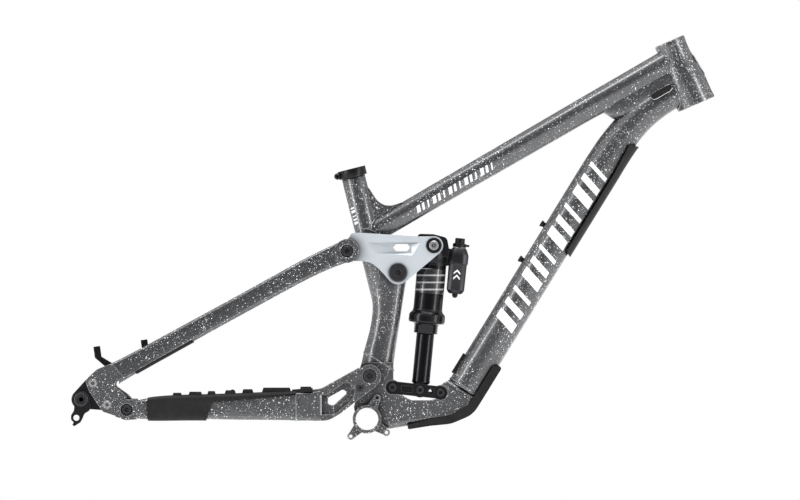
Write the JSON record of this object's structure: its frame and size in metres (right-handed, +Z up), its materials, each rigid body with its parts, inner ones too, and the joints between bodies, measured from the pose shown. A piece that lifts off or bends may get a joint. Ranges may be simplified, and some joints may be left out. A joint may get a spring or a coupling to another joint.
{
  "type": "full-suspension mountain bike frame",
  "caption": "Full-suspension mountain bike frame: four-bar rear end, rocker link and air shock with a reservoir, sloping top tube, tapered head tube, threaded bottom bracket shell.",
  "frame": {"origin": "centre of the bottom bracket shell", "axes": "+X towards the head tube and along the longest extent, +Y to the rider's left along the bottom bracket's axis, +Z up as ridden"},
  "size_m": [0.9964, 0.1813, 0.6275],
  "materials": {
    "speckled_paint": "painted gloss metallic grey with fine pale splatter over aluminium",
    "black_anodised": "black anodised satin",
    "silver_satin": "pale silver satin",
    "bare_steel": "machined",
    "dark_rubber": "matt"
  },
  "bodies": {
    "front_triangle": {"head_tube": "speckled_paint", "seat_tube": "speckled_paint", "seat_mast": "speckled_paint", "top_tube": "speckled_paint", "down_tube": "speckled_paint", "seat_gusset": "speckled_paint", "lower_forging": "speckled_paint", "bb_shell": "black_anodised", "iscg_tabs": "speckled_paint", "seat_clamp": "black_anodised", "seat_clamp_bolt": "bare_steel", "downtube_guard_upper": "dark_rubber", "downtube_guard_lower": "dark_rubber", "bottle_boss_inserts": "black_anodised", "cable_door": "dark_rubber", "cable_port_plugs": "dark_rubber", "shock_mount_plate_right": "black_anodised", "shock_mount_plate_left": "black_anodised", "shock_mount_bolts": "black_anodised", "shock_lower_bolt": "black_anodised", "main_pivot_axle": "black_anodised", "rocker_pivot_axle": "black_anodised"},
    "chainstay_assembly": {"chainstay_right": "speckled_paint", "chainstay_left": "speckled_paint", "chainstay_yoke": "speckled_paint", "chainstay_cover": "dark_rubber", "hose_guides": "black_anodised", "main_pivot_bearings": "bare_steel", "horst_bearings": "bare_steel", "clamp_screw": "black_anodised"},
    "seatstay_assembly": {"seatstay_right": "speckled_paint", "seatstay_left": "speckled_paint", "seatstay_bridge": "speckled_paint", "dropout_insert_right": "black_anodised", "dropout_insert_left": "black_anodised", "dropout_bolts": "bare_steel", "derailleur_hanger": "black_anodised", "hanger_nut": "black_anodised", "brake_post_rear": "black_anodised", "brake_post_front": "black_anodised", "seatstay_guard": "dark_rubber", "stay_pivot_bolts": "black_anodised", "horst_pivot_bolts": "black_anodised"},
    "rocker_assembly": {"rocker_link_right": "silver_satin", "rocker_link_left": "silver_satin", "rocker_bearings": "bare_steel", "trunnion_bolts": "bare_steel", "trunnion_washers": "black_anodised"},
    "shock_body": {"shock_head": "black_anodised", "air_can": "black_anodised", "reservoir": "black_anodised", "reservoir_valve_cap": "black_anodised", "compression_post": "black_anodised"},
    "shock_shaft": {"damper_body": "bare_steel", "air_piston": "bare_steel"},
    "thru_axle_body": {"thru_axle": "bare_steel"},
    "compression_knob": {"compression_dial": "bare_steel"}
  },
  "joints": [
    {"name": "main_pivot", "type": "hinge", "parent": "front_triangle", "child": "chainstay_assembly", "pos_m": [0.004, 0, 0.067], "axis": [0, 1, 0], "range_deg": [0, 20]},
    {"name": "rocker_pivot", "type": "hinge", "parent": "front_triangle", "child": "rocker_assembly", "pos_m": [0.048, 0, 0.227], "axis": [0, 1, 0], "range_deg": [0, 47.2]},
    {"name": "horst_pivot", "type": "hinge", "parent": "chainstay_assembly", "child": "seatstay_assembly", "pos_m": [-0.3715, 0, 0.015], "axis": [0, 1, 0], "range_deg": [-7.3, 0]},
    {"name": "shock_upper_pivot", "type": "hinge", "parent": "rocker_assembly", "child": "shock_body", "pos_m": [0.1035, 0, 0.269], "axis": [0, 1, 0], "range_deg": [-40.3, 0]},
    {"name": "shock_stroke", "type": "slide", "parent": "shock_body", "child": "shock_shaft", "axis": [0.0941, 0, 0.9956], "range_m": [0, 0.0508]},
    {"name": "thru_axle_pull", "type": "slide", "parent": "seatstay_assembly", "child": "thru_axle_body", "axis": [0, 1, 0], "range_m": [0, 0.18]},
    {"name": "compression_turn", "type": "hinge", "parent": "shock_body", "child": "compression_knob", "pos_m": [0.14346, 0, 0.26867], "axis": [0.0941, 0, 0.9956], "range_deg": [0, 270]}
  ],
  "couplings": [
    {"joint": "rocker_pivot", "follows": "main_pivot", "ratio": 2.355},
    {"joint": "horst_pivot", "follows": "main_pivot", "ratio": -0.36},
    {"joint": "shock_upper_pivot", "follows": "main_pivot", "ratio": -2.01},
    {"joint": "shock_stroke", "follows": "main_pivot", "m_per_rad": 0.145}
  ]
}
